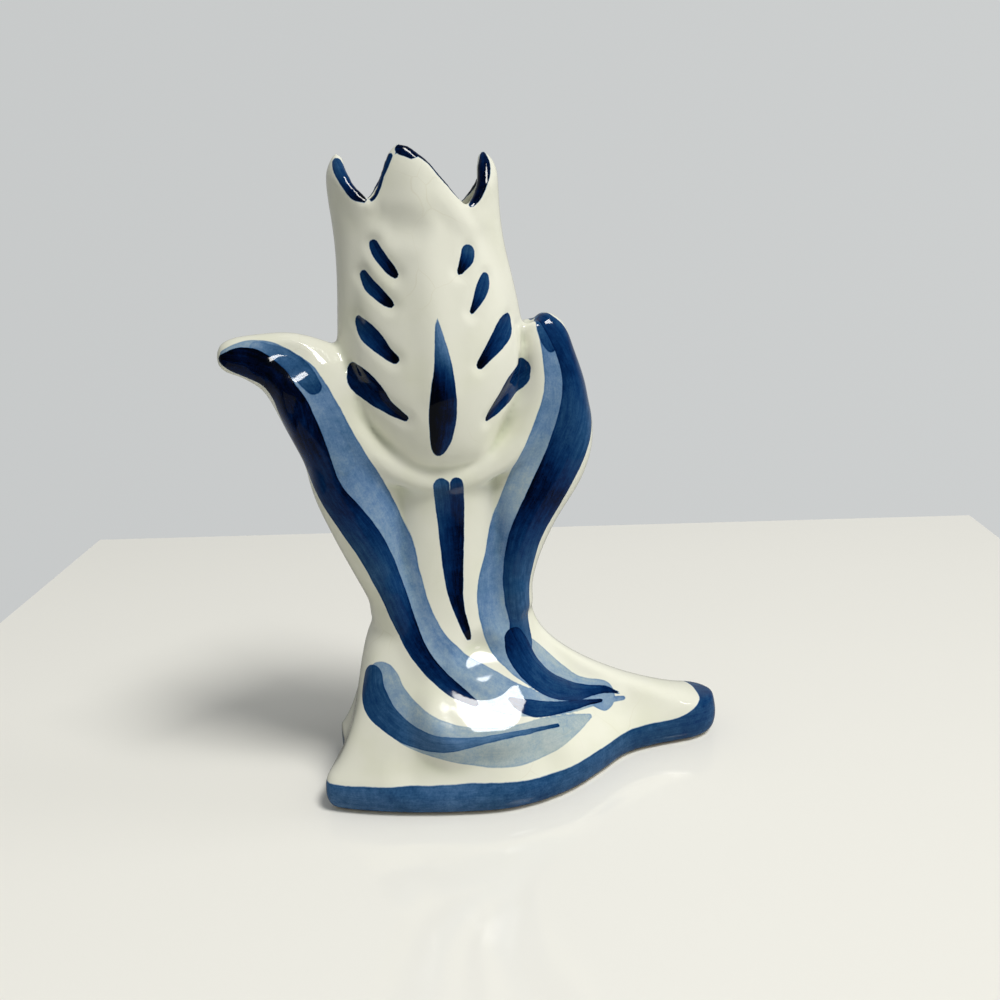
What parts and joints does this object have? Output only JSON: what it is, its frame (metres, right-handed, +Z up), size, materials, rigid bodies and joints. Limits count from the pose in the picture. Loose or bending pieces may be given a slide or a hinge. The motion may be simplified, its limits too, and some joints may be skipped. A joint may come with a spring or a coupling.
{
  "type": "bud vase",
  "caption": "Glazed earthenware bud vase shaped as a tulip bloom with leaves at its sides, on a flared hollow foot with a long toe, painted with cobalt brush strokes.",
  "frame": {"origin": "on the resting plane, under the axis of the stem's foot", "axes": "+Z up, +X along the flat body towards the toe, -Y out of the painted front"},
  "size_m": [0.1302, 0.0618, 0.165],
  "materials": {
    "painted_glaze": "clear glossy glaze over cream-white earthenware with cobalt-blue underglaze brushwork"
  },
  "bodies": {
    "root": {"base_slab": "painted_glaze", "foot_shell": "painted_glaze", "stem_tube": "painted_glaze", "bloom_cup": "painted_glaze", "left_leaf": "painted_glaze", "right_leaf": "painted_glaze"}
  },
  "joints": []
}
